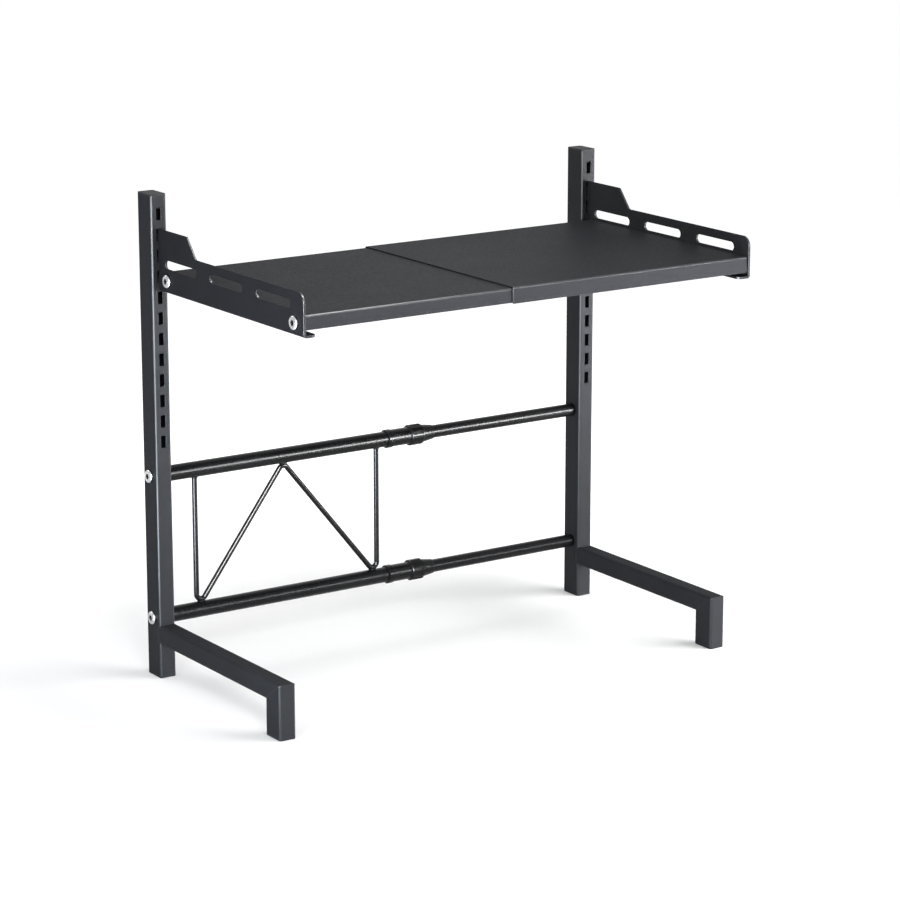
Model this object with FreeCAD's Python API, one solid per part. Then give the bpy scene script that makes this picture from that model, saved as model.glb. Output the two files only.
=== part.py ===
import FreeCAD, Part
import math
import os

Vector = FreeCAD.Vector

# A width-adjustable rack with one shelf for a microwave oven.
# Millimetres. The origin is on the floor, under the middle of the rack.
# X runs to the right, Y to the back and Z up.

# Whole rack, pulled out to its full width
width = 600.0               # across the outer faces of the two uprights
height = 550.0              # floor to the top of the caps
travel = 200.0              # how far the right half slides in
closed_gap = 5.0            # room left at the ends of the rails when it is pushed in

# Uprights: rectangular tube with a row of hook slots down the front
upright_width = 20.0
upright_depth = 30.0
upright_wall = 1.2
tube_corner = 3.0           # outside corner radius of every rectangular tube
least_corner = 0.3          # smallest inside corner radius
slot_count = 12
slot_width = 6.0
slot_height = 14.0
slot_corner = 1.0
slot_pitch = 23.2
slot_drop = 14.8            # top of the rack to the top edge of the highest slot

# Feet: a beam runs forward from each upright and is mitred to a short front leg
foot_length = 290.0         # back of the upright to the front of the leg
foot_wall = 1.2
leg_depth = 30.0
beam_height = 22.0
beam_clear = 40.0           # floor to the underside of the beam

# Plastic plugs in the tube ends
cap_thickness = 2.0
cap_edge = 0.8              # rounding of the cap's upper edge
foot_plug_thickness = 2.5
foot_plug_edge = 0.6
plug_depth = 14.0
plug_wall = 1.6
plug_fit = 0.1              # clearance on each side of a plug

# Telescopic rails across the back
upper_rail_height = 232.0
lower_rail_height = 68.0
outer_rail_diameter = 18.0
outer_rail_wall = 1.0
inner_rail_wall = 1.0
rail_clearance = 0.5        # radial gap between the outer and the inner rail
rail_insert_length = 18.0
rail_fit = 0.05             # radial clearance of what is fixed in or on a rail
running_fit = 0.08          # radial clearance of what slides or turns

# Glide plugs on the inner rails' hidden ends
glide_head = 6.0
glide_spigot = 14.0
glide_bore = 8.0

# Bolts that hold the rails to the uprights
bolt_diameter = 6.0
bolt_hole_clearance = 0.2   # radial
bolt_end_margin = 2.0       # insert left unused at its far end
bolt_head_diameter = 15.0
bolt_head_height = 3.4
bolt_head_round = 2.0
socket_across = 6.0
socket_depth = 2.6
thread_fit = 0.05           # radial clearance of a thread

# Twist lock at the end of each outer rail
sleeve_grip = 29.0          # length of sleeve over the outer rail
sleeve_wall = 1.0
sleeve_lip_width = 6.0
sleeve_lip_rise = 0.8
sleeve_shoulder = 2.0       # sleeve past the rail's end, up to the nut
sleeve_thread_length = 11.0
sleeve_thread_step = 0.7    # radial step from the sleeve down to its thread
collar_clearance = 0.4      # radial gap between the collars and what passes through them
collar_face_gap = 0.4       # gap between the nut and the sleeve's shoulder
collet_length = 13.0
collet_barrel = 5.6         # straight length of the collet before its cone
collet_slit = 1.6
collet_seat_gap = 0.1
nut_barrel = 16.6           # ribbed length of the nut
nut_taper = 16.0            # tapered length of the nut
nut_tip_bore = 4.0          # straight bore at the nut's tip
nut_wall = 2.8
nut_tip_wall = 0.6
nut_edge = 0.8
nut_step = 1.5              # radial step from the barrel down to the taper
nut_recess_count = 6
nut_recess_width = 4.0
nut_recess_end_margin = 1.4
nut_recess_depth = 1.9
upper_nut_turn = 22.0       # degrees, where each nut's thread bites
lower_nut_turn = 14.0

# Bent wire between the two outer rails
wire_diameter = 6.0
wire_bend = 6.0             # bend radius at the wire's middle line
wire_start = 36.3           # left upright to the middle of the first wire post
wire_end_gap = 12.7         # middle of the last wire post to the collar
wire_apex_shift = 5.0       # the peak stands this far left of the middle
weld_gap = 0.05

# Shelf brackets: bent sheet with three hooks, hung in the upright's slots
bracket_slot = 1            # slots left free above the bracket's top hook
bracket_sheet = 2.5
bracket_reach = 303.0       # front of the upright to the front of the bracket
bracket_back_gap = 0.2
bend_inner = 1.0            # inside radius of the sheet bends
flange_width = 16.0
flange_corner = 6.0
hook_count = 3
hook_base = 8.6             # bottom of the bracket to its lowest hook
hook_neck = 7.0
hook_thickness = 3.0
hook_play = 0.5             # room over the neck when the hook is lifted clear
hook_wall_gap = 0.3
hook_tip_round = 1.0
hook_top_margin = 7.0       # top hook to the top of the bracket
hump_length = 62.3          # level top at the back of the bracket
hump_slope = 19.0           # length over which it falls to the guard rail
hump_round = 3.0
guard_height = 46.5
guard_front_round = 11.0
guard_rim = 9.7             # sheet left above the long slots
guard_slot_count = 3
guard_slot_height = 10.0
guard_slot_bridge = 29.0
guard_slot_back = 15.0
guard_slot_front = 26.5
rim_round = 0.5             # rounding along the sheet's free edges

# Shelf: two sheet trays, the right one lying over the left one
tray_sheet = 1.0
tray_height = 23.3          # bottom of the bracket to the top of the left tray
tray_bend = 1.2             # inside bend radius
tray_front_setback = 3.0
tray_back_setback = 11.0
tray_nest_gap = 0.3         # between the two tray tops
tray_lip_nest_gap = 0.5     # between the trays' lips
left_lip_gap = 5.0          # bracket flange to the left tray's lip
right_lip_gap = 4.0
left_tray_end_room = 45.0   # free end of the left tray to the right bracket, pushed in
right_tray_length = 319.0

# Screws and nuts between the trays and the brackets
screw_diameter = 6.0
screw_hole_clearance = 0.2
screw_head_diameter = 15.0
screw_head_height = 3.2
screw_head_round = 2.0
screw_protrusion = 1.5
screw_front_inset = 15.0    # from the front lip
screw_back_inset = 8.5
screw_edge = 6.2            # from the lower edge of the left tray's flange
screw_nut_across = 10.0
screw_nut_height = 5.0

cut_margin = 5.0            # how far a cutting body reaches past what it cuts

# Places that follow from the sizes above
depth = upright_depth + bracket_reach
back = depth / 2
front = -depth / 2
upright_front = back - upright_depth
outer_face = -width / 2
inner_face = outer_face + upright_width
upright_middle = outer_face + upright_width / 2
rail_y = back - upright_depth / 2
foot_front = back - foot_length
leg_back = foot_front + leg_depth
beam_top = beam_clear + beam_height
closed_span = width - travel - 2 * upright_width

outer_rail_radius = outer_rail_diameter / 2
outer_rail_bore = outer_rail_radius - outer_rail_wall
inner_rail_radius = outer_rail_bore - rail_clearance
inner_rail_bore = inner_rail_radius - inner_rail_wall
nut_start = sleeve_shoulder + collar_face_gap
nut_end = nut_start + nut_barrel + nut_taper
outer_rail_length = closed_span - nut_end - closed_gap
inner_rail_length = closed_span - rail_insert_length - glide_head - closed_gap
rail_end = inner_face + outer_rail_length
inner_rail_end = -inner_face - inner_rail_length

sleeve_radius = outer_rail_radius + rail_fit + sleeve_wall
sleeve_thread_radius = sleeve_radius - sleeve_thread_step
sleeve_end = sleeve_shoulder + sleeve_thread_length
passage_radius = inner_rail_radius + collar_clearance
nut_bore = sleeve_thread_radius + running_fit
nut_radius = nut_bore + nut_wall
nut_tip_radius = passage_radius + nut_tip_wall

hook_drop = slot_height - hook_neck - hook_play
hook_seat = height - slot_drop - bracket_slot * slot_pitch - slot_height
bracket_bottom = hook_seat - (hook_count - 1) * slot_pitch - hook_base
bracket_top = hook_seat + hook_neck + hook_top_margin
guard_top = bracket_bottom + guard_height
bracket_back = upright_front - bracket_back_gap
bracket_outer = upright_middle - bracket_sheet / 2
bracket_inner = upright_middle + bracket_sheet / 2
bend_outer = bend_inner + bracket_sheet

left_tray_top = bracket_bottom + tray_height
left_tray_bottom = bracket_bottom + bracket_sheet + left_lip_gap
left_tray_front = front + tray_front_setback
left_tray_back = upright_front - tray_back_setback
left_tray_length = width - travel - 2 * (upright_width / 2 + bracket_sheet / 2) - left_tray_end_room
right_tray_top = left_tray_top + tray_nest_gap + tray_sheet
right_tray_bottom = bracket_bottom + bracket_sheet + right_lip_gap
right_tray_front = left_tray_front - tray_lip_nest_gap - tray_sheet
right_tray_back = left_tray_back + tray_lip_nest_gap + tray_sheet
screw_height = left_tray_bottom + screw_edge
screw_places = (left_tray_front + screw_front_inset, left_tray_back - screw_back_inset)


def write(name, shape):
    """Write one sub-part to its own file."""
    shape.exportStep(os.path.join("parts", name + ".step"))


def mirrored(shape):
    """The same piece on the other side of the rack."""
    return shape.mirror(Vector(0, 0, 0), Vector(1, 0, 0))


def box(x0, x1, y0, y1, z0, z1):
    return Part.makeBox(x1 - x0, y1 - y0, z1 - z0, Vector(x0, y0, z0))


def rod(x0, x1, y, z, radius):
    """Solid round bar along X."""
    return Part.makeCylinder(radius, x1 - x0, Vector(x0, y, z), Vector(1, 0, 0))


def pipe(x0, x1, y, z, radius, bore):
    """Round tube along X."""
    return rod(x0, x1, y, z, radius).cut(rod(x0, x1, y, z, bore))


def edges_along(shape, axis):
    """The straight edges of a shape that run along one axis."""
    found = []
    for edge in shape.Edges:
        run = edge.Vertexes[-1].Point - edge.Vertexes[0].Point
        if abs(run.dot(axis)) > 0.999 * run.Length:
            found.append(edge)
    return found


def rounded_bar(x0, x1, y0, y1, z0, z1, radius, axis):
    """Box whose four edges along one axis are rounded."""
    bar = box(x0, x1, y0, y1, z0, z1)
    return bar.makeFillet(radius, edges_along(bar, axis))


def tube_up(x0, x1, y0, y1, z0, z1, wall):
    """Upright rectangular tube."""
    inside = max(tube_corner - wall, least_corner)
    up = Vector(0, 0, 1)
    outer = rounded_bar(x0, x1, y0, y1, z0, z1, tube_corner, up)
    return outer.cut(rounded_bar(x0 + wall, x1 - wall, y0 + wall, y1 - wall, z0, z1, inside, up))


def tube_forward(x0, x1, y0, y1, z0, z1, wall):
    """Level rectangular tube along Y."""
    inside = max(tube_corner - wall, least_corner)
    forward = Vector(0, 1, 0)
    outer = rounded_bar(x0, x1, y0, y1, z0, z1, tube_corner, forward)
    return outer.cut(rounded_bar(x0 + wall, x1 - wall, y0, y1, z0 + wall, z1 - wall, inside, forward))


def outline(corners):
    """Closed wire in the YZ plane through (y, z, radius) corners, each rounded to its radius."""
    starts = []
    ends = []
    middles = []
    for index, (y, z, radius) in enumerate(corners):
        here = Vector(0, y, z)
        before = Vector(0, corners[index - 1][0], corners[index - 1][1]) - here
        following = corners[(index + 1) % len(corners)]
        after = Vector(0, following[0], following[1]) - here
        half = before.getAngle(after) / 2
        before.normalize()
        after.normalize()
        reach = radius / math.tan(half)
        starts.append(here + before * reach)
        ends.append(here + after * reach)
        inward = (before + after).normalize()
        middles.append(here + inward * (radius / math.sin(half) - radius))
    edges = []
    for index, corner in enumerate(corners):
        if corner[2] > 0:
            edges.append(Part.Arc(starts[index], middles[index], ends[index]).toShape())
        edges.append(Part.LineSegment(ends[index], starts[(index + 1) % len(corners)]).toShape())
    return Part.Wire(edges)


def turned(profile):
    """Body of revolution about X from a closed list of (x, radius) points."""
    points = [Vector(x, 0, radius) for x, radius in profile]
    face = Part.Face(Part.makePolygon(points + points[:1]))
    return face.revolve(Vector(0, 0, 0), Vector(1, 0, 0), 360)


def hexagon(x0, x1, across):
    """Hexagonal bar along X, flat at the top and the bottom."""
    reach = across / math.sqrt(3)
    points = []
    for step in range(7):
        angle = math.radians(60 * step)
        points.append(Vector(x0, reach * math.cos(angle), reach * math.sin(angle)))
    return Part.Face(Part.makePolygon(points)).extrude(Vector(x1 - x0, 0, 0))


def headed_screw(diameter, length, head_diameter, head_height, head_round):
    """Round-headed screw along +X with a hexagon socket. Its head rests on x = 0."""
    head = rod(-head_height, 0, 0, 0, head_diameter / 2)
    rim = [edge for edge in head.Edges if abs(edge.CenterOfMass.x + head_height) < 0.001]
    head = head.makeFillet(head_round, rim)
    socket = hexagon(-head_height - cut_margin, socket_depth - head_height, socket_across)
    return head.fuse(rod(0, length, 0, 0, diameter / 2)).removeSplitter().cut(socket)


def placed(shape, x, y, z):
    """A moved copy."""
    copy = shape.copy()
    copy.translate(Vector(x, y, z))
    return copy


def upright():
    """Left upright with its slots and its bolt holes."""
    tube = tube_up(outer_face, inner_face, upright_front, back, foot_plug_thickness,
                   height - cap_thickness, upright_wall)
    for step in range(slot_count):
        top = height - slot_drop - step * slot_pitch
        slot = rounded_bar(upright_middle - slot_width / 2, upright_middle + slot_width / 2,
                           upright_front - cut_margin, upright_front + upright_wall + slot_corner,
                           top - slot_height, top, slot_corner, Vector(0, 1, 0))
        tube = tube.cut(slot)
    for rail_z in (upper_rail_height, lower_rail_height):
        hole = rod(outer_face - cut_margin, inner_face + cut_margin, rail_y, rail_z,
                   bolt_diameter / 2 + bolt_hole_clearance)
        tube = tube.cut(hole)
    return tube


def mitre_wedge():
    """Everything on the leg's side of the mitre between beam and leg."""
    run = Vector(0, foot_front - leg_back, beam_height).normalize()
    down = Vector(0, -run.z, run.y)
    low = Vector(outer_face - cut_margin, leg_back, beam_clear) - run * foot_length
    high = Vector(outer_face - cut_margin, foot_front, beam_top) + run * cut_margin
    far = down * foot_length
    face = Part.Face(Part.makePolygon([low, high, high + far, low + far, low]))
    return face.extrude(Vector(upright_width + 2 * cut_margin, 0, 0))


def foot_beam():
    tube = tube_forward(outer_face, inner_face, foot_front, upright_front, beam_clear, beam_top, foot_wall)
    return tube.cut(mitre_wedge())


def front_leg():
    tube = tube_up(outer_face, inner_face, foot_front, leg_back, foot_plug_thickness, beam_top, foot_wall)
    return tube.common(mitre_wedge())


def tube_plug(y0, y1, z_face, thickness, wall, edge):
    """Plug for an upright tube: a plate over its end and a hollow spigot inside it.

    A positive thickness closes the tube's top and a negative one its foot.
    """
    z_out = z_face + thickness
    plate = rounded_bar(outer_face, inner_face, y0, y1, min(z_face, z_out), max(z_face, z_out),
                        tube_corner, Vector(0, 0, 1))
    plate = plate.makeFillet(edge, [e for e in plate.Edges
                                    if abs(e.BoundBox.ZMin - z_out) + abs(e.BoundBox.ZMax - z_out) < 0.01])
    z_deep = z_face - math.copysign(plug_depth, thickness)
    inset = wall + plug_fit
    low = min(z_face, z_deep)
    high = max(z_face, z_deep)
    inside = max(tube_corner - inset, least_corner)
    up = Vector(0, 0, 1)
    spigot = rounded_bar(outer_face + inset, inner_face - inset, y0 + inset, y1 - inset, low, high, inside, up)
    inset += plug_wall
    spigot = spigot.cut(box(outer_face + inset, inner_face - inset, y0 + inset, y1 - inset, low, high))
    return plate.fuse(spigot).removeSplitter()


def rail_insert(x, radius, rail_z):
    """Threaded plug in a rail's end."""
    return pipe(x, x + rail_insert_length, rail_y, rail_z, radius - rail_fit, bolt_diameter / 2 + thread_fit)


def rail_bolt(rail_z):
    length = upright_width + rail_insert_length - bolt_end_margin
    bolt = headed_screw(bolt_diameter, length, bolt_head_diameter, bolt_head_height, bolt_head_round)
    return placed(bolt, outer_face, rail_y, rail_z)


def glide_plug(rail_z):
    """Plug in the inner rail's hidden end. Its head rides in the outer rail."""
    head = rod(inner_rail_end - glide_head, inner_rail_end, rail_y, rail_z, outer_rail_bore - running_fit)
    spigot = rod(inner_rail_end, inner_rail_end + glide_spigot, rail_y, rail_z, inner_rail_bore - rail_fit)
    bore = rod(inner_rail_end - glide_head, inner_rail_end + glide_spigot, rail_y, rail_z, glide_bore / 2)
    return head.fuse(spigot).cut(bore)


def lock_sleeve(rail_z):
    """Plastic sleeve over the outer rail's end, with a thread for the nut."""
    seat = outer_rail_radius + rail_fit
    lip = sleeve_radius + sleeve_lip_rise
    lip_end = sleeve_lip_width - sleeve_grip
    profile = [(-sleeve_grip, seat), (-sleeve_grip, lip), (lip_end, lip), (lip_end, sleeve_radius),
               (sleeve_shoulder, sleeve_radius), (sleeve_shoulder, sleeve_thread_radius),
               (sleeve_end, sleeve_thread_radius), (sleeve_end, passage_radius),
               (0, passage_radius), (0, seat)]
    return placed(turned(profile), rail_end, rail_y, rail_z)


def nut_cone_radius(x):
    """Radius of the nut's inner cone, which squeezes the collet."""
    cone_start = nut_start + nut_barrel
    cone_end = nut_end - nut_tip_bore
    share = max(0.0, x - cone_start) / (cone_end - cone_start)
    return nut_bore + (passage_radius - nut_bore) * share


def collet_ring(rail_z):
    """Split ring that the nut squeezes onto the inner rail."""
    start = sleeve_end + collet_seat_gap
    end = start + collet_length
    bore = inner_rail_radius + running_fit
    barrel = nut_bore - collar_clearance
    profile = [(start, bore), (start, barrel), (start + collet_barrel, barrel),
               (end, nut_cone_radius(end) - collar_clearance), (end, bore)]
    slit = box(start, end, -collet_slit / 2, collet_slit / 2, 0, nut_radius)
    return placed(turned(profile).cut(slit), rail_end, rail_y, rail_z)


def lock_nut(rail_z, turn):
    """Twist nut: a ribbed barrel with finger recesses and a taper down to the inner rail."""
    barrel_end = nut_start + nut_barrel
    profile = [(nut_start, nut_bore), (nut_start, nut_radius - nut_edge), (nut_start + nut_edge, nut_radius),
               (barrel_end - nut_edge, nut_radius), (barrel_end, nut_radius - nut_step),
               (nut_end, nut_tip_radius), (nut_end, passage_radius),
               (nut_end - nut_tip_bore, passage_radius), (barrel_end, nut_bore)]
    nut = turned(profile)
    recess = rounded_bar(nut_start + nut_recess_end_margin, barrel_end - nut_recess_end_margin,
                         -nut_recess_width / 2, nut_recess_width / 2,
                         nut_radius - nut_recess_depth, nut_radius + cut_margin,
                         nut_recess_width / 2 - slot_corner, Vector(0, 0, 1))
    for step in range(nut_recess_count):
        cutter = recess.copy()
        angle = 90 - turn + step * 360.0 / nut_recess_count
        cutter.rotate(Vector(0, 0, 0), Vector(1, 0, 0), angle)
        nut = nut.cut(cutter)
    return placed(nut, rail_end, rail_y, rail_z)


def truss_wire():
    """One wire bent post, diagonal, diagonal, post between the outer rails."""
    radius = wire_diameter / 2
    left = inner_face + wire_start
    right = rail_end - sleeve_grip - wire_end_gap
    low = lower_rail_height + outer_rail_radius + weld_gap + radius + wire_bend
    high = upper_rail_height - outer_rail_radius - weld_gap - radius - wire_bend
    peak_x = (left + right) / 2 - wire_apex_shift

    def diagonal(foot_x):
        """Where a straight wire leaves the bend at its foot and meets the bend at the peak."""
        side = math.copysign(1, peak_x - foot_x)
        run = abs(peak_x - foot_x)
        rise = high - low
        angle = math.atan2(rise, run) + math.asin(2 * wire_bend / math.hypot(run, rise))
        normal = Vector(-side * math.sin(angle), 0, math.cos(angle)) * wire_bend
        return Vector(foot_x, rail_y, low) - normal, Vector(peak_x, rail_y, high) + normal, angle

    def on_bend(x, z, angle):
        return Vector(x + wire_bend * math.cos(angle), rail_y, z + wire_bend * math.sin(angle))

    foot_left = left + wire_bend
    foot_right = right - wire_bend
    leave_left, meet_left, angle_left = diagonal(foot_left)
    leave_right, meet_right, angle_right = diagonal(foot_right)
    low_left = math.pi + (angle_left + math.pi / 2) / 2
    low_right = -(angle_right + math.pi / 2) / 2
    top = Vector(left, rail_y, upper_rail_height)
    end = Vector(right, rail_y, upper_rail_height)
    first = Vector(left, rail_y, low)
    last = Vector(right, rail_y, low)
    edges = [
        Part.LineSegment(top, first).toShape(),
        Part.Arc(first, on_bend(foot_left, low, low_left), leave_left).toShape(),
        Part.LineSegment(leave_left, meet_left).toShape(),
        Part.Arc(meet_left, on_bend(peak_x, high, math.pi / 2), meet_right).toShape(),
        Part.LineSegment(meet_right, leave_right).toShape(),
        Part.Arc(leave_right, on_bend(foot_right, low, low_right), last).toShape(),
        Part.LineSegment(last, end).toShape(),
    ]
    section = Part.Wire(Part.makeCircle(radius, top, Vector(0, 0, -1)))
    wire = Part.Wire(edges).makePipeShell([section], True, False)
    rail = rod(inner_face, rail_end, rail_y, upper_rail_height, outer_rail_radius + weld_gap)
    return wire.cut(rail)


def bracket_outline():
    """Side view of the bracket's sheet above its bend, with the hooks on its back edge."""
    inside = upright_front + upright_wall + hook_wall_gap
    tip = inside + hook_thickness
    corners = [(bracket_back, bracket_bottom + bend_outer, 0)]
    for step in range(hook_count):
        seat = hook_seat - (hook_count - 1 - step) * slot_pitch
        corners += [(bracket_back, seat, 0), (inside, seat, 0), (inside, seat - hook_drop, hook_tip_round),
                    (tip, seat - hook_drop, hook_tip_round), (tip, seat + hook_neck, hook_tip_round),
                    (bracket_back, seat + hook_neck, 0)]
    hump_end = upright_front - hump_length
    corners += [(bracket_back, bracket_top, 0), (hump_end, bracket_top, hump_round),
                (hump_end - hump_slope, guard_top, hump_round), (front, guard_top, guard_front_round),
                (front, bracket_bottom + bend_outer, 0)]
    return outline(corners)


def guard_slots():
    """The long round-ended slots along the bracket's guard rail."""
    clear = bracket_reach - guard_slot_back - guard_slot_front
    length = (clear - (guard_slot_count - 1) * guard_slot_bridge) / guard_slot_count
    z = guard_top - guard_rim - guard_slot_height / 2
    radius = guard_slot_height / 2
    slots = []
    for step in range(guard_slot_count):
        far = upright_front - guard_slot_back - step * (length + guard_slot_bridge)
        near = far - length
        long_part = box(bracket_outer - cut_margin, bracket_inner + cut_margin, near + radius, far - radius,
                        z - radius, z + radius)
        for y in (near + radius, far - radius):
            long_part = long_part.fuse(rod(bracket_outer - cut_margin, bracket_inner + cut_margin, y, z, radius))
        slots.append(long_part.removeSplitter())
    return slots


def bracket():
    """Left shelf bracket: upright sheet, hooks, and a flange bent inward along its bottom."""
    face = Part.Face(bracket_outline())
    face.translate(Vector(bracket_outer, 0, 0))
    sheet = face.extrude(Vector(bracket_sheet, 0, 0))
    bend_z = bracket_bottom + bend_outer
    rim = []
    for edge in sheet.Edges:
        limits = edge.BoundBox
        on_side = limits.XMax - limits.XMin < 0.001
        if on_side and limits.YMin < bracket_back - rim_round and limits.ZMax > bend_z + rim_round:
            rim.append(edge)
    sheet = sheet.makeFillet(rim_round, rim)
    bend_x = bracket_outer + bend_outer
    flange_end = bracket_outer + flange_width
    flange_top = bracket_bottom + bracket_sheet
    slant = math.sqrt(0.5)

    def at(x, z):
        return Vector(x, front, z)

    outer_arc = Part.Arc(at(bracket_outer, bend_z), at(bend_x - slant * bend_outer, bend_z - slant * bend_outer),
                         at(bend_x, bracket_bottom))
    inner_arc = Part.Arc(at(bend_x, flange_top), at(bend_x - slant * bend_inner, bend_z - slant * bend_inner),
                         at(bracket_inner, bend_z))
    section = Part.Wire([
        outer_arc.toShape(),
        Part.LineSegment(at(bend_x, bracket_bottom), at(flange_end, bracket_bottom)).toShape(),
        Part.LineSegment(at(flange_end, bracket_bottom), at(flange_end, flange_top)).toShape(),
        Part.LineSegment(at(flange_end, flange_top), at(bend_x, flange_top)).toShape(),
        inner_arc.toShape(),
        Part.LineSegment(at(bracket_inner, bend_z), at(bracket_outer, bend_z)).toShape(),
    ])
    flange = Part.Face(section).extrude(Vector(0, bracket_back - front, 0))
    corner_edges = [edge for edge in edges_along(flange, Vector(0, 0, 1))
                    if abs(edge.CenterOfMass.x - flange_end) < 0.001]
    flange = flange.makeFillet(flange_corner, corner_edges)
    body = sheet.fuse(flange).removeSplitter()
    for slot in guard_slots():
        body = body.cut(slot)
    for y in screw_places:
        body = body.cut(rod(bracket_outer - cut_margin, bracket_inner + cut_margin, y, screw_height,
                            screw_diameter / 2 + screw_hole_clearance))
    return body


def tray(length, y_front, y_back, z_bottom, z_top):
    """Sheet tray fixed to the left bracket: lips at the front and back, a flange at its fixed end."""
    x0 = bracket_inner
    x1 = x0 + length

    def shell(x0, x1, y0, y1, z0, z1, radius):
        body = box(x0, x1, y0, y1, z0, z1)
        bends = []
        for edge in body.Edges:
            middle = edge.CenterOfMass
            high = abs(middle.z - z1) < 0.001
            side = abs(middle.y - y0) < 0.001 or abs(middle.y - y1) < 0.001
            fixed = abs(middle.x - x0) < 0.001
            if high + side + fixed > 1 and (high or fixed):
                bends.append(edge)
        return body.makeFillet(radius, bends)

    outer = shell(x0, x1, y_front, y_back, z_bottom, z_top, tray_bend + tray_sheet)
    inner = shell(x0 + tray_sheet, x1 + cut_margin, y_front + tray_sheet, y_back - tray_sheet,
                  z_bottom - cut_margin, z_top - tray_sheet, tray_bend)
    body = outer.cut(inner)
    for y in screw_places:
        body = body.cut(rod(x0 - cut_margin, x0 + cut_margin, y, screw_height,
                            screw_diameter / 2 + screw_hole_clearance))
    return body


def shelf_screws():
    length = bracket_sheet + tray_sheet + screw_nut_height + screw_protrusion
    screw = headed_screw(screw_diameter, length, screw_head_diameter, screw_head_height, screw_head_round)
    return Part.makeCompound([placed(screw, bracket_outer, y, screw_height) for y in screw_places])


def shelf_nuts():
    x = bracket_inner + tray_sheet
    nut = hexagon(0, screw_nut_height, screw_nut_across)
    nut = nut.cut(rod(0, screw_nut_height, 0, 0, screw_diameter / 2 + thread_fit))
    return Part.makeCompound([placed(nut, x, y, screw_height) for y in screw_places])


def write_pair(name, shape):
    """A piece that both sides of the rack have, as mirror images."""
    write("left_" + name, shape)
    write("right_" + name, mirrored(shape))


os.makedirs("parts", exist_ok=True)
rail_heights = {"upper": upper_rail_height, "lower": lower_rail_height}
nut_turns = {"upper": upper_nut_turn, "lower": lower_nut_turn}

# Side frames
write_pair("upright", upright())
write_pair("foot_beam", foot_beam())
write_pair("front_leg", front_leg())
write_pair("upright_cap", tube_plug(upright_front, back, height - cap_thickness, cap_thickness,
                                    upright_wall, cap_edge))
write_pair("rear_foot_plug", tube_plug(upright_front, back, foot_plug_thickness, -foot_plug_thickness,
                                       upright_wall, foot_plug_edge))
write_pair("front_foot_plug", tube_plug(foot_front, leg_back, foot_plug_thickness, -foot_plug_thickness,
                                        foot_wall, foot_plug_edge))
write_pair("rail_bolts", Part.makeCompound([rail_bolt(z) for z in rail_heights.values()]))

# Rails, with their inserts, glides and twist locks
for place, rail_z in rail_heights.items():
    write(place + "_outer_rail", pipe(inner_face, rail_end, rail_y, rail_z, outer_rail_radius, outer_rail_bore))
    write(place + "_inner_rail", pipe(inner_rail_end, -inner_face, rail_y, rail_z,
                                      inner_rail_radius, inner_rail_bore))
    write(place + "_glide_plug", glide_plug(rail_z))
    write(place + "_lock_sleeve", lock_sleeve(rail_z))
    write(place + "_collet_ring", collet_ring(rail_z))
    write(place + "_lock_nut", lock_nut(rail_z, nut_turns[place]))
write("left_rail_inserts", Part.makeCompound([rail_insert(inner_face, outer_rail_bore, z)
                                              for z in rail_heights.values()]))
write("right_rail_inserts", mirrored(Part.makeCompound([rail_insert(inner_face, inner_rail_bore, z)
                                                        for z in rail_heights.values()])))
write("truss_wire", truss_wire())

# Shelf
write_pair("bracket", bracket())
write("left_shelf_plate", tray(left_tray_length, left_tray_front, left_tray_back,
                               left_tray_bottom, left_tray_top))
write("right_shelf_plate", mirrored(tray(right_tray_length, right_tray_front, right_tray_back,
                                         right_tray_bottom, right_tray_top)))
write_pair("shelf_screws", shelf_screws())
write_pair("shelf_nuts", shelf_nuts())
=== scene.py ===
import math

import bmesh
import bpy
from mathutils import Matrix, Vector


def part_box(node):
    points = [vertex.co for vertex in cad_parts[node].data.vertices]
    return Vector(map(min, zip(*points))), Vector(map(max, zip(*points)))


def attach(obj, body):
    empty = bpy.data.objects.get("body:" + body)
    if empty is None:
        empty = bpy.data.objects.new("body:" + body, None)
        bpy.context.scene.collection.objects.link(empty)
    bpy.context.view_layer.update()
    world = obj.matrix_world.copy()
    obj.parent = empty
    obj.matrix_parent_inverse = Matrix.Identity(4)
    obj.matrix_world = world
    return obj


# The looks of a width-adjustable microwave rack, in metres, in the frame of its solids.

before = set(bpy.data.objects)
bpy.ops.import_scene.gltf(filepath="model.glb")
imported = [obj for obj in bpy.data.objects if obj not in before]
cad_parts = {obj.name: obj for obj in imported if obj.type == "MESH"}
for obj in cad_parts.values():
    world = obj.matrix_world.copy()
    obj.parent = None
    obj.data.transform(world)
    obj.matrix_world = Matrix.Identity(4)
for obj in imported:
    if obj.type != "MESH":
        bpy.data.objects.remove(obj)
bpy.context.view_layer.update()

# Camera, at the photograph's viewing angle
CAMERA_AZIMUTH = 33.96          # degrees, looking to the back right
CAMERA_ELEVATION = 13.99        # degrees above the horizon
CAMERA_PLACE = Vector((-1.947, -2.891, 1.120))
CAMERA_LENS = 128.0             # millimetres on the sensor below
CAMERA_SENSOR = 36.0

# Studio
WHITE = (1.0, 1.0, 1.0, 1.0)
AMBIENT = 0.30                  # what the white room sheds on matt surfaces
FLOOR_COLOUR = (0.86, 0.86, 0.86, 1.0)
FLOOR_SIZE = 60.0
FLOOR_DROP = 0.0002             # keeps the floor clear of the feet's undersides
FLOOR_LIT = (0.3, 1.0)          # distances from the middle: the lamps' light starts to fade, and is gone
FLOOR_GLOW_NEAR = 0.14          # share of white that the floor adds itself where the lamps light it

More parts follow.
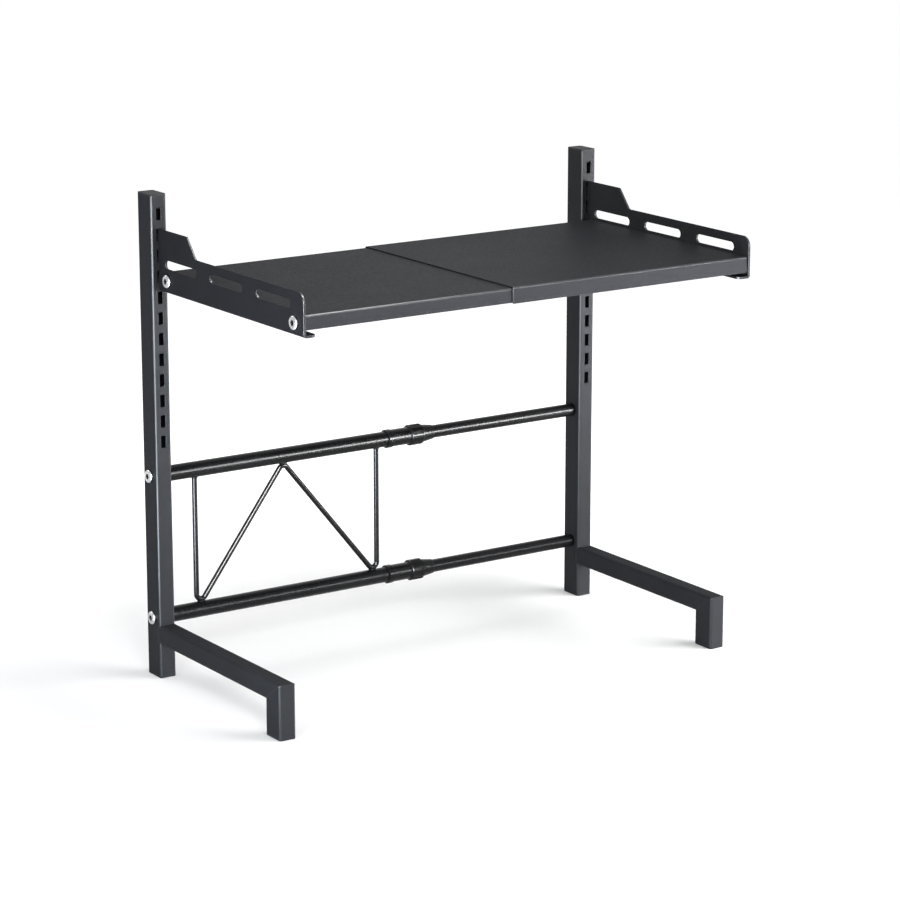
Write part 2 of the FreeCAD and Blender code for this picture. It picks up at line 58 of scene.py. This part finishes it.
# Soft boxes: name, place, width, height, watts, colour
COOL = (0.78, 0.88, 1.0)
NEUTRAL = (1.0, 1.0, 1.0)
SOFT_BOXES = (
    ("left_box", (-0.64, -0.85, 0.72), 0.25, 0.25, 4.2, NEUTRAL),
    ("left_floor_box", (-1.05, -0.45, 0.20), 0.30, 0.30, 4.6, COOL),
    ("right_box", (1.15, -1.00, 0.30), 1.60, 0.55, 86.0, NEUTRAL),
    ("top_box", (0.00, -0.10, 0.95), 0.30, 0.30, 1.5, NEUTRAL),
    ("back_box", (-0.50, 1.30, 1.30), 1.20, 0.80, 10.0, NEUTRAL),
)
# Glints: lamps that only show as highlights in the coat
GLINTS = (
    ("left_glint", (-0.95, -0.55, 0.22), 0.60, 0.42, 58.0, COOL),
    ("left_low_glint", (-0.58, -0.10, 0.07), 0.20, 0.12, 7.0, COOL),
    ("left_high_glint", (-0.62, -0.85, 0.61), 0.40, 0.40, 95.0, NEUTRAL),
    ("right_glint", (0.62, -0.78, 0.37), 0.95, 0.28, 5.0, NEUTRAL),
    ("top_glint", (0.06, -0.33, 1.03), 0.30, 0.24, 2.0, NEUTRAL),
    ("tray_glint", (0.70, 1.20, 0.83), 0.50, 0.60, 0.85, NEUTRAL),
)
MATT_ONLY = ("right_box",)      # soft boxes that don't show as highlights
AIM = Vector((0.0, 0.0, 0.3))   # what the lamps point at, apart from these
OWN_AIMS = {
    "right_glint": Vector((0.0, 0.0, 0.37)),
    "top_glint": Vector((-0.30, -0.17, 0.47)),
}
OPEN_SPREAD = math.pi           # angle that a lamp's light spreads over, apart from these
GRIDDED = {
    "right_glint": math.radians(30),
    "top_glint": math.radians(70),
}

# Sizes of the finishes' patterns
GRAIN = 0.0007                  # powder grain
PEEL = 0.0032                   # orange peel of the coat
CLOUD = 0.07                    # slow change of tone
SPARK = 0.0005                  # fine texture of mouldings
SCUFF = 0.006                   # scuffs on mouldings, longest along X
SCUFF_STRETCH = (3.0, 0.5, 0.5)
DRAWN = 0.0006                  # drawing marks in plated steel
PLATE_CLOUD = 0.004             # change of tone in plating

# Depths of the bumps that they make
GRAIN_DEPTH = 12e-6
PEEL_DEPTH = 20e-6
SMOOTH_GRAIN_DEPTH = 0.6e-6     # on drawn tube and wire
SMOOTH_PEEL_DEPTH = 2e-6
DRAWN_DEPTH = 6e-6

# Shares of the change of tone that the grain makes up, on rough and on smooth coats
COAT_GRAIN_SHARE = 0.6
SMOOTH_GRAIN_SHARE = 0.4

# How far the patterns move the roughness
PEEL_SPREAD = 0.05
SMOOTH_PEEL_SPREAD = 0.02
CLOUD_SPREAD = 0.03
SPARK_SPREAD = 0.04
SCUFF_RANGE = (-0.05, 0.07)
DRAWN_SPREAD = 0.06
PLATE_CLOUD_RANGE = (-0.03, 0.05)

# Edges, bends and hollows
EDGE_ROUND = 0.0008             # radius that the coat gives to sharp edges
MOULD_ROUND = 0.0005            # radius of a moulding's edges
ROUND_SAMPLES = 6
EDGE_COSINES = (0.80, 0.995)    # rounded against true direction: a full edge, and none
LEVEL_COSINES = (0.90, 0.99)    # direction against straight up: not level, and level
BEND_SLANTS = (0.08, 0.35)      # product of a direction's parts on two axes: square, and a full bend
COAT_WEAR = 0.35                # share of the wear colour on a coat's edges
# On mouldings the paler edges are partly wear and partly a painted highlight.
MOULD_WEAR_AND_HIGHLIGHT = 0.8                # the same on a moulding's
BEND_GLOSS = 0.25               # how much smoother the coat flows round bends and rounded corners
BEND_SHINE = 0.34               # roughness of the gloss there
OPEN_SHARES = (0.50, 0.92)      # share of open air above a point: deep in a hollow, and in the open
HOLLOW_SAMPLES = 8
SOCKET_REACH = 0.004            # how far inside a hollow its walls shade each other
GROOVE_REACH = 0.003            # the same in the grooves of mouldings
# Near-black painted shade laid deep in the grooves of mouldings
GROOVE_SHADE_COLOUR = (0.002, 0.002, 0.002)
GROOVE_DULL = 0.6               # roughness that a groove adds

# Welds
TUBE_CORNER = 0.003             # outside corner radius of the rectangular tubes
BEAD_STEP = 0.0005              # distance between the rings of a bead
BEAD_RINGS_LEAST = 8
BEAD_SIDES = 10
RIPPLE_PITCH = 0.0018
RIPPLE = 0.08                   # share of a bead's radius
TAPER_POWER = 8                 # how late a bead's open ends start to taper
TAPER_LEAST = 0.06              # share of a bead's section that is left at its ends
BEAM_BEAD = 0.0013              # radius of the weld over and under a foot beam
FILL_CROWN = 0.00015            # how far the dressed weld at a beam's sides stands proud
FILL_END = 0.1                  # share of a half wave that is left off at each end of its crown
FILL_TOE = 0.0011               # how far it reaches over the beam and the upright
FILL_STEPS = 8                  # faces across it
WIRE_BEAD = 0.0010              # radius of the weld round a wire's end
BEND_BEAD = 0.0013              # radius of the weld beside a wire's bend
BEND_BEAD_LENGTH = 0.009
BEND_BEAD_LIFT = 0.4            # share of its radius that it stands off the rail
PEAK_REACH = 0.05               # how far from the wire's middle its upper bend lies at most
SHARP_ANGLE = math.radians(35)

# Nodes
WHOLE = (0.0, 1.0)              # span of a share
NOISE_SPAN = (0.3, 0.7)         # span that holds nearly all of a cloudy pattern
RANGE_SOCKETS = ("From Min", "From Max", "To Min", "To Max")
MIX_COLOURS = (6, 7)            # a mix node's sockets for colours share their names with others
MIX_RESULT = 2


def feed(tree, socket, value):
    """Gives a socket a constant or the output of another node."""
    if isinstance(value, bpy.types.NodeSocket):
        tree.links.new(value, socket)
    else:
        socket.default_value = value


def combined(tree, operation, first, *others, clamp=False):
    """Several values taken together, two at a time, by one operation."""
    for other in others:
        node = tree.nodes.new("ShaderNodeMath")
        node.operation = operation
        node.use_clamp = clamp
        tree.links.new(first, node.inputs[0])
        tree.links.new(other, node.inputs[1])
        first = node.outputs["Value"]
    return first


def stretched(tree, value, span, low, high, interpolation="LINEAR"):
    """A value that runs over a span, stretched to run from low to high."""
    node = tree.nodes.new("ShaderNodeMapRange")
    node.interpolation_type = interpolation
    for socket, number in zip(RANGE_SOCKETS, (*span, low, high)):
        feed(tree, node.inputs[socket], number)
    tree.links.new(value, node.inputs["Value"])
    return node.outputs["Result"]


class Finish:
    """One material. Its textures lie in the part's own coordinates, in metres."""

    def __init__(self, name, metallic, specular):
        self.material = bpy.data.materials.new(name)
        self.material.use_nodes = True
        self.tree = self.material.node_tree
        self.shader = self.tree.nodes["Principled BSDF"]
        self.shader.inputs["Metallic"].default_value = metallic
        self.shader.inputs["Specular IOR Level"].default_value = specular
        self.place = self.tree.nodes.new("ShaderNodeTexCoord").outputs["Object"]
        self.flat = self.tree.nodes.new("ShaderNodeNewGeometry").outputs["Normal"]

    def put(self, socket, value):
        self.tree.links.new(value, self.shader.inputs[socket])

    def noise(self, size, detail, stretch=(1.0, 1.0, 1.0)):
        """Cloudy pattern whose features are about one size across."""
        mapping = self.tree.nodes.new("ShaderNodeMapping")
        mapping.inputs["Scale"].default_value = [1 / (size * side) for side in stretch]
        self.tree.links.new(self.place, mapping.inputs["Vector"])
        texture = self.tree.nodes.new("ShaderNodeTexNoise")
        texture.inputs["Scale"].default_value = 1.0
        texture.inputs["Detail"].default_value = detail
        self.tree.links.new(mapping.outputs["Vector"], texture.inputs["Vector"])
        return texture.outputs["Fac"]

    def between(self, noise, low, high):
        """A cloudy pattern as numbers from low to high."""
        return stretched(self.tree, noise, NOISE_SPAN, low, high)

    def scaled(self, share, most):
        """A share as numbers from 0 to most."""
        return stretched(self.tree, share, WHOLE, 0.0, most)

    def total(self, *values):
        return combined(self.tree, "ADD", *values)

    def mottle(self, grain, cloud, grain_share):
        """A share that changes with the grain and, for the rest, slowly."""
        return self.total(self.between(grain, 0.0, grain_share), self.between(cloud, 0.0, 1.0 - grain_share))

    def colours(self, share, dark, pale):
        """A colour from dark to pale. Either may be the output of another node."""
        node = self.tree.nodes.new("ShaderNodeMix")
        node.data_type = "RGBA"
        self.tree.links.new(share, node.inputs["Factor"])
        for socket, colour in zip(MIX_COLOURS, (dark, pale)):
            feed(self.tree, node.inputs[socket], (*colour, 1.0) if isinstance(colour, tuple) else colour)
        return node.outputs[MIX_RESULT]

    def bump(self, height, depth, under=None):
        """A surface that rises by a real depth with a height from 0 to 1."""
        node = self.tree.nodes.new("ShaderNodeBump")
        node.inputs["Strength"].default_value = 1.0
        node.inputs["Distance"].default_value = depth
        self.tree.links.new(height, node.inputs["Height"])
        if under is not None:
            self.tree.links.new(under, node.inputs["Normal"])
        return node.outputs["Normal"]

    def rounded(self, radius):
        """The direction of the surface with its sharp edges rounded."""
        node = self.tree.nodes.new("ShaderNodeBevel")
        node.samples = ROUND_SAMPLES
        node.inputs["Radius"].default_value = radius
        return node.outputs["Normal"]

    def edges(self, rounded):
        """1 along sharp edges and 0 on flats and soft curves."""
        dot = self.tree.nodes.new("ShaderNodeVectorMath")
        dot.operation = "DOT_PRODUCT"
        self.tree.links.new(rounded, dot.inputs[0])
        self.tree.links.new(self.flat, dot.inputs[1])
        return stretched(self.tree, dot.outputs["Value"], EDGE_COSINES, 1.0, 0.0)

    def axes(self, direction):
        """A direction's parts along X, Y and Z."""
        node = self.tree.nodes.new("ShaderNodeSeparateXYZ")
        self.tree.links.new(direction, node.inputs[0])
        return {axis: node.outputs[axis] for axis in "XYZ"}

    def level(self, direction):
        """1 on faces that look straight up and 0 on the rest."""
        return stretched(self.tree, self.axes(direction)["Z"], LEVEL_COSINES, 0.0, 1.0)

    def bends(self, direction, pairs):
        """1 on bends and rounded edges that look along both axes of a pair at once, 0 on square faces."""
        size = self.tree.nodes.new("ShaderNodeVectorMath")
        size.operation = "ABSOLUTE"
        self.tree.links.new(direction, size.inputs[0])
        parts = self.axes(size.outputs["Vector"])
        slants = [combined(self.tree, "MULTIPLY", parts[first], parts[second]) for first, second in pairs]
        return stretched(self.tree, combined(self.tree, "MAXIMUM", *slants), BEND_SLANTS, 0.0, 1.0)

    def hollows(self, reach):
        """1 deep in a hollow and 0 on open surfaces."""
        node = self.tree.nodes.new("ShaderNodeAmbientOcclusion")
        node.samples = HOLLOW_SAMPLES
        node.inputs["Distance"].default_value = reach
        return stretched(self.tree, node.outputs["AO"], OPEN_SHARES, 1.0, 0.0)


def powder_coat(name, dark, pale, wear, roughness, level_roughness, specular, glossy_bends, gloss):
    """Satin powder coat: grain over orange peel, worn edges, and gloss where it flows round bends."""
    finish = Finish(name, metallic=0.0, specular=specular)
    finish.shader.inputs["Coat Roughness"].default_value = BEND_SHINE
    grain = finish.noise(GRAIN, detail=2.0)
    peel = finish.noise(PEEL, detail=1.0)
    cloud = finish.noise(CLOUD, detail=3.0)
    rounded = finish.rounded(EDGE_ROUND)
    edge = finish.edges(rounded)
    bend = finish.bends(rounded, glossy_bends)
    coat = finish.colours(finish.mottle(grain, cloud, COAT_GRAIN_SHARE), dark, pale)
    finish.put("Base Color", finish.colours(finish.scaled(edge, COAT_WEAR), coat, wear))
    finish.put("Roughness", finish.total(
        finish.between(peel, roughness - PEEL_SPREAD, roughness + PEEL_SPREAD),
        finish.between(cloud, -CLOUD_SPREAD, CLOUD_SPREAD),
        finish.scaled(finish.level(rounded), level_roughness - roughness),
        finish.scaled(bend, -BEND_GLOSS)))
    finish.put("Coat Weight", finish.scaled(bend, gloss))
    finish.put("Coat Normal", rounded)
    finish.put("Normal", finish.bump(grain, GRAIN_DEPTH, finish.bump(peel, PEEL_DEPTH, rounded)))
    return finish.material


def smooth_coat(name, dark, pale, roughness, specular):
    """Smooth satin coat on drawn tube and wire, with faint orange peel."""
    finish = Finish(name, metallic=0.0, specular=specular)
    grain = finish.noise(GRAIN, detail=2.0)
    peel = finish.noise(PEEL, detail=1.0)
    cloud = finish.noise(CLOUD, detail=3.0)
    finish.put("Base Color", finish.colours(finish.mottle(grain, cloud, SMOOTH_GRAIN_SHARE), dark, pale))
    finish.put("Roughness", finish.total(
        finish.between(peel, roughness - SMOOTH_PEEL_SPREAD, roughness + SMOOTH_PEEL_SPREAD),
        finish.between(cloud, -CLOUD_SPREAD, CLOUD_SPREAD)))
    finish.put("Normal", finish.bump(grain, SMOOTH_GRAIN_DEPTH, finish.bump(peel, SMOOTH_PEEL_DEPTH)))
    return finish.material


def moulded_plastic(name, dark, pale, wear, roughness, specular, depth):
    """Black moulded plastic with a fine spark texture, faint scuffs, paler worn edges that also serve as
    painted highlight lines, and painted shade in the grooves.
    """
    finish = Finish(name, metallic=0.0, specular=specular)
    spark = finish.noise(SPARK, detail=2.0)
    scuff = finish.noise(SCUFF, detail=4.0, stretch=SCUFF_STRETCH)
    edge = finish.edges(finish.rounded(MOULD_ROUND))
    hollow = finish.hollows(GROOVE_REACH)
    scuffed = finish.colours(finish.between(scuff, 0.0, 1.0), dark, pale)
    # Edges go towards the paler wear colour: partly worn edges, partly a painted highlight along the facet
    # edges.
    worn_highlit_edges = finish.colours(finish.scaled(edge, MOULD_WEAR_AND_HIGHLIGHT), scuffed, wear)
    # Painted shade: deep in grooves the colour goes over to the near-black shade colour.
    finish.put("Base Color", finish.colours(hollow, worn_highlit_edges, GROOVE_SHADE_COLOUR))
    finish.put("Roughness", finish.total(
        finish.between(spark, roughness - SPARK_SPREAD, roughness + SPARK_SPREAD),
        finish.between(scuff, *SCUFF_RANGE),
        finish.scaled(hollow, GROOVE_DULL)))
    finish.put("Normal", finish.bump(spark, depth))
    return finish.material


def plated_steel(name, dark, pale, painted_hollow_shade, roughness, streak):
    """Plated steel: fine drawn streaks, a slow change of tone, and painted shade that darkens its hollows
    and sockets.
    """
    finish = Finish(name, metallic=1.0, specular=0.5)
    drawn = finish.noise(DRAWN, detail=2.0, stretch=streak)
    cloud = finish.noise(PLATE_CLOUD, detail=3.0)
    plate = finish.colours(finish.between(cloud, 0.0, 1.0), dark, pale)
    # Painted shade: deep in hollows, such as a screw's socket, the colour goes over to a near-black shade
    # colour.
    finish.put("Base Color", finish.colours(finish.hollows(SOCKET_REACH), plate, painted_hollow_shade))
    finish.put("Roughness", finish.total(
        finish.between(drawn, roughness - DRAWN_SPREAD, roughness + DRAWN_SPREAD),
        finish.between(cloud, *PLATE_CLOUD_RANGE)))
    finish.put("Normal", finish.bump(drawn, DRAWN_DEPTH))
    return finish.material


SMOOTH_DARK = (0.0030, 0.0031, 0.0034)
SMOOTH_PALE = (0.0055, 0.0056, 0.0060)
FINISHES = {
    "frame_coat": powder_coat(
        "frame_coat_finish", dark=(0.0195, 0.0204, 0.0226), pale=(0.0294, 0.0307, 0.0338),
        wear=(0.045, 0.047, 0.051), roughness=0.46, level_roughness=0.66, specular=0.020,
        glossy_bends=("XY",), gloss=0.25),
    "shelf_coat": powder_coat(
        "shelf_coat_finish", dark=(0.0212, 0.0220, 0.0245), pale=(0.0312, 0.0322, 0.0360),
        wear=(0.050, 0.052, 0.055), roughness=0.52, level_roughness=0.50, specular=0.006,
        glossy_bends=("XY", "YZ"), gloss=0.5),
    "rail_coat": smooth_coat(
        "rail_coat_finish", dark=SMOOTH_DARK, pale=SMOOTH_PALE, roughness=0.28, specular=0.12),
    "collar_plastic": moulded_plastic(
        "collar_plastic_finish", dark=(0.0020, 0.0020, 0.0022), pale=(0.0045, 0.0045, 0.0049),
        wear=(0.022, 0.022, 0.024), roughness=0.25, specular=0.15, depth=6e-6),
    "plug_plastic": moulded_plastic(
        "plug_plastic_finish", dark=(0.022, 0.023, 0.025), pale=(0.031, 0.032, 0.034),
        wear=(0.040, 0.041, 0.044), roughness=0.52, specular=0.05, depth=12e-6),
    "bright_steel": plated_steel(
        "bright_steel_finish", dark=(0.38, 0.385, 0.395), pale=(0.54, 0.545, 0.555),
        painted_hollow_shade=(0.02, 0.02, 0.022), roughness=0.22, streak=(4.0, 1.0, 1.0)),
    "plain_steel": plated_steel(
        "plain_steel_finish", dark=(0.40, 0.40, 0.41), pale=(0.55, 0.55, 0.56),
        painted_hollow_shade=(0.05, 0.05, 0.05), roughness=0.34, streak=(1.0, 1.0, 4.0)),
}

# The solids keep their meshes and get the finishes
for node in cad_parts.values():
    slot = node.material_slots[0]
    slot.material = FINISHES[slot.material.name]
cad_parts["truss_wire"].material_slots[0].material = smooth_coat(
    "wire_coat_finish", dark=SMOOTH_DARK, pale=SMOOTH_PALE, roughness=0.26, specular=0.16)


# Welds
def ripple(distance):
    """The swell of a weld bead along its length, about 1."""
    return 1 + RIPPLE * math.sin(2 * math.pi * distance / RIPPLE_PITCH)


def skin(mesh, rings, closed):
    """Joins rings of points into one closed skin."""
    loops = [[mesh.verts.new(point) for point in ring] for ring in rings]
    following = loops[1:] + loops[:1] if closed else loops[1:]
    for ring, after in zip(loops, following):
        for index in range(len(ring)):
            mesh.faces.new((ring[index - 1], ring[index], after[index], after[index - 1]))
    if not closed:
        mesh.faces.new(reversed(loops[0]))
        mesh.faces.new(loops[-1])


def bead(mesh, route, length, radius, closed=False):
    """A rippled bead along route, a function of the share of its length. Open ends taper off."""
    count = max(BEAD_RINGS_LEAST, round(length / BEAD_STEP))
    shares = [index / count for index in range(count if closed else count + 1)]
    rings = []
    for share in shares:
        here = route(share)
        ahead = (route(share + 0.5 / count) - route(share - 0.5 / count)).normalized()
        side = ahead.cross(Vector((0.0, 1.0, 0.0))).normalized()
        up = side.cross(ahead)
        taper = 1.0 if closed else math.sqrt(max(TAPER_LEAST, 1 - (2 * share - 1) ** TAPER_POWER))
        size = radius * taper * ripple(share * length)
        ring = []
        for step in range(BEAD_SIDES):
            angle = 2 * math.pi * step / BEAD_SIDES
            ring.append(here + (side * math.cos(angle) + up * math.sin(angle)) * size)
        rings.append(ring)
    skin(mesh, rings, closed)


def piece(name, mesh, body, slot):
    """Turns a built mesh into a smooth piece that rides on a body."""
    bmesh.ops.recalc_face_normals(mesh, faces=mesh.faces)
    data = bpy.data.meshes.new(name)
    mesh.to_mesh(data)
    mesh.free()
    data.shade_smooth()
    data.set_sharp_from_angle(angle=SHARP_ANGLE)
    data.materials.append(FINISHES[slot])
    thing = bpy.data.objects.new(name, data)
    bpy.context.scene.collection.objects.link(thing)
    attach(thing, body)


def beam_fill(mesh, face_x, outward, joint_y, low_z, high_z):
    """Dressed weld in the groove between a beam's side and the upright's rounded corner."""
    start_z = low_z + TUBE_CORNER / 2
    height = high_z - TUBE_CORNER / 2 - start_z
    count = round(height / BEAD_STEP)
    middle_z = (low_z + high_z) / 2
    flat = (high_z - low_z) / 2 - TUBE_CORNER
    rings = []
    for index in range(count + 1):
        z = start_z + index * height / count
        past_flat = max(0.0, abs(z - middle_z) - flat)
        beam_inset = TUBE_CORNER - math.sqrt(TUBE_CORNER ** 2 - past_flat ** 2)
        wave = math.sin(math.pi * (FILL_END + (1 - 2 * FILL_END) * index / count))
        crown = FILL_CROWN * ripple(z) * wave
        ring = []
        for step in range(FILL_STEPS + 1):
            share = step / FILL_STEPS
            y = joint_y - FILL_TOE + share * (TUBE_CORNER + 2 * FILL_TOE)
            rise = crown * 4 * share * (1 - share) - beam_inset * (1 - share)
            ring.append(Vector((face_x + outward * rise, y, z)))
        root = TUBE_CORNER / 4 + beam_inset
        ring.append(Vector((face_x - outward * root, joint_y + TUBE_CORNER, z)))
        ring.append(Vector((face_x - outward * root, joint_y - FILL_TOE, z)))
        rings.append(ring)
    skin(mesh, rings, closed=False)


def beam_weld(side):
    """Weld between a foot beam and its upright: dressed flush at the sides, small beads above and below."""
    low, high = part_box(side + "_foot_beam")
    mesh = bmesh.new()
    for face_x, outward in ((low.x, -1), (high.x, 1)):
        beam_fill(mesh, face_x, outward, high.y, low.z, high.z)
    width = high.x - low.x - 2 * TUBE_CORNER
    for z in (low.z, high.z):
        def route(share, z=z):
            return Vector((low.x + TUBE_CORNER + share * width, high.y, z))
        bead(mesh, route, width, BEAM_BEAD)
    piece(side + "_beam_weld", mesh, side + "_frame", "frame_coat")


def truss_welds():
    """Welds that hold the wire: rings at its two upper ends, short beads where its bends touch the rails."""
    low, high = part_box("truss_wire")
    upper_low, upper_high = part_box("upper_outer_rail")
    lower_low, lower_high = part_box("lower_outer_rail")
    rail_radius = (upper_high.z - upper_low.z) / 2
    wire_radius = (high.y - low.y) / 2
    middle_x = (low.x + high.x) / 2
    middle_y = (low.y + high.y) / 2
    upper_z = (upper_low.z + upper_high.z) / 2
    lower_z = (lower_low.z + lower_high.z) / 2
    mesh = bmesh.new()

    # Rings round the ends
    for x in (low.x + wire_radius, high.x - wire_radius):
        def saddle(share, x=x):
            angle = 2 * math.pi * share
            y = wire_radius * math.sin(angle)
            return Vector((x + wire_radius * math.cos(angle), middle_y + y,
                           upper_z - math.sqrt(rail_radius ** 2 - y ** 2)))
        bead(mesh, saddle, 2 * math.pi * wire_radius, WIRE_BEAD, closed=True)

    # Beads at both sides of the bends, which are found on the wire's own mesh
    points = [vertex.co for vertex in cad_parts["truss_wire"].data.vertices]
    middle_points = [point for point in points if abs(point.x - middle_x) <= PEAK_REACH]
    peak = max(middle_points, key=lambda point: point.z).x
    lowest = [point.x for point in points if point.z < low.z + wire_radius / 4]
    left_foot = [x for x in lowest if x < peak]
    right_foot = [x for x in lowest if x > peak]
    lift = BEND_BEAD * BEND_BEAD_LIFT
    touches = [(sum(foot) / len(foot), lower_z + rail_radius + lift) for foot in (left_foot, right_foot)]
    touches.append((peak, upper_z - rail_radius - lift))
    for x, z in touches:
        for toward in (-1, 1):
            def run(share, x=x, z=z, toward=toward):
                return Vector((x + (share - 0.5) * BEND_BEAD_LENGTH, middle_y + toward * BEND_BEAD, z))
            bead(mesh, run, BEND_BEAD_LENGTH, BEND_BEAD)
    piece("truss_welds", mesh, "left_frame", "rail_coat")


for side in ("left", "right"):
    beam_weld(side)
truss_welds()


# Studio: a white room with a pale floor
def seen_directly(tree):
    """1 for what the camera sees, straight or in a shiny or clear surface, and 0 for light on matt ones."""
    rays = tree.nodes.new("ShaderNodeLightPath").outputs
    return combined(tree, "ADD", rays["Is Camera Ray"], rays["Is Glossy Ray"], rays["Is Transmission Ray"],
                    clamp=True)


def fade_with_distance(tree, near, far):
    """A value that goes from near to far as the lamps' light on the floor fades out."""
    length = tree.nodes.new("ShaderNodeVectorMath")
    length.operation = "LENGTH"
    tree.links.new(tree.nodes.new("ShaderNodeNewGeometry").outputs["Position"], length.inputs[0])
    return stretched(tree, length.outputs["Value"], FLOOR_LIT, near, far, interpolation="SMOOTHSTEP")


def white_room():
    """A room that is white to look at and sheds even light on matt surfaces."""
    world = bpy.data.worlds.new("white_room")
    world.use_nodes = True
    tree = world.node_tree
    background = tree.nodes["Background"]
    background.inputs["Color"].default_value = WHITE
    strength = stretched(tree, seen_directly(tree), WHOLE, AMBIENT, 1.0)
    tree.links.new(strength, background.inputs["Strength"])
    bpy.context.scene.world = world


def pale_floor():
    """A floor that takes the rack's shadow and is as white as the room where nothing shades it."""
    half = FLOOR_SIZE / 2
    mesh = bpy.data.meshes.new("floor")
    corners = [(x, y, -FLOOR_DROP) for x, y in ((-half, -half), (half, -half), (half, half), (-half, half))]
    mesh.from_pydata(corners, [], [(0, 1, 2, 3)])
    floor = bpy.data.objects.new("floor", mesh)
    bpy.context.scene.collection.objects.link(floor)
    material = bpy.data.materials.new("pale_floor")
    material.use_nodes = True
    tree = material.node_tree
    shader = tree.nodes["Principled BSDF"]
    shader.inputs["Base Color"].default_value = FLOOR_COLOUR
    shader.inputs["Roughness"].default_value = 1.0
    shader.inputs["Specular IOR Level"].default_value = 0.0
    shader.inputs["Emission Color"].default_value = WHITE
    glow = fade_with_distance(tree, FLOOR_GLOW_NEAR, 1.0 - FLOOR_COLOUR[0] * AMBIENT)
    strength = stretched(tree, seen_directly(tree), WHOLE, 0.0, glow)
    tree.links.new(strength, shader.inputs["Emission Strength"])
    mesh.materials.append(material)


def soft_box(name, place, width, height, watts, colour, glint=False):
    """A rectangular lamp that isn't seen itself."""
    lamp = bpy.data.lights.new(name, "AREA")
    lamp.shape = "RECTANGLE"
    lamp.size = width
    lamp.size_y = height
    lamp.energy = watts
    lamp.color = colour
    lamp.spread = GRIDDED.get(name, OPEN_SPREAD)
    box = bpy.data.objects.new(name, lamp)
    box.location = place
    box.rotation_euler = (OWN_AIMS.get(name, AIM) - Vector(place)).to_track_quat("-Z", "Y").to_euler()
    box.visible_camera = False
    box.visible_diffuse = not glint
    box.visible_glossy = name not in MATT_ONLY
    bpy.context.scene.collection.objects.link(box)


def camera():
    """The camera that looks at the rack as the photograph does."""
    azimuth = math.radians(CAMERA_AZIMUTH)
    elevation = math.radians(CAMERA_ELEVATION)
    ahead = Vector((math.sin(azimuth) * math.cos(elevation), math.cos(azimuth) * math.cos(elevation),
                    -math.sin(elevation)))
    data = bpy.data.cameras.new("camera")
    data.sensor_width = CAMERA_SENSOR
    data.lens = CAMERA_LENS
    eye = bpy.data.objects.new("camera", data)
    eye.location = CAMERA_PLACE
    eye.rotation_euler = ahead.to_track_quat("-Z", "Y").to_euler()
    bpy.context.scene.collection.objects.link(eye)
    bpy.context.scene.camera = eye


white_room()
pale_floor()
for settings in SOFT_BOXES:
    soft_box(*settings)
for settings in GLINTS:
    soft_box(*settings, glint=True)
camera()
bpy.context.scene.view_settings.view_transform = "Standard"
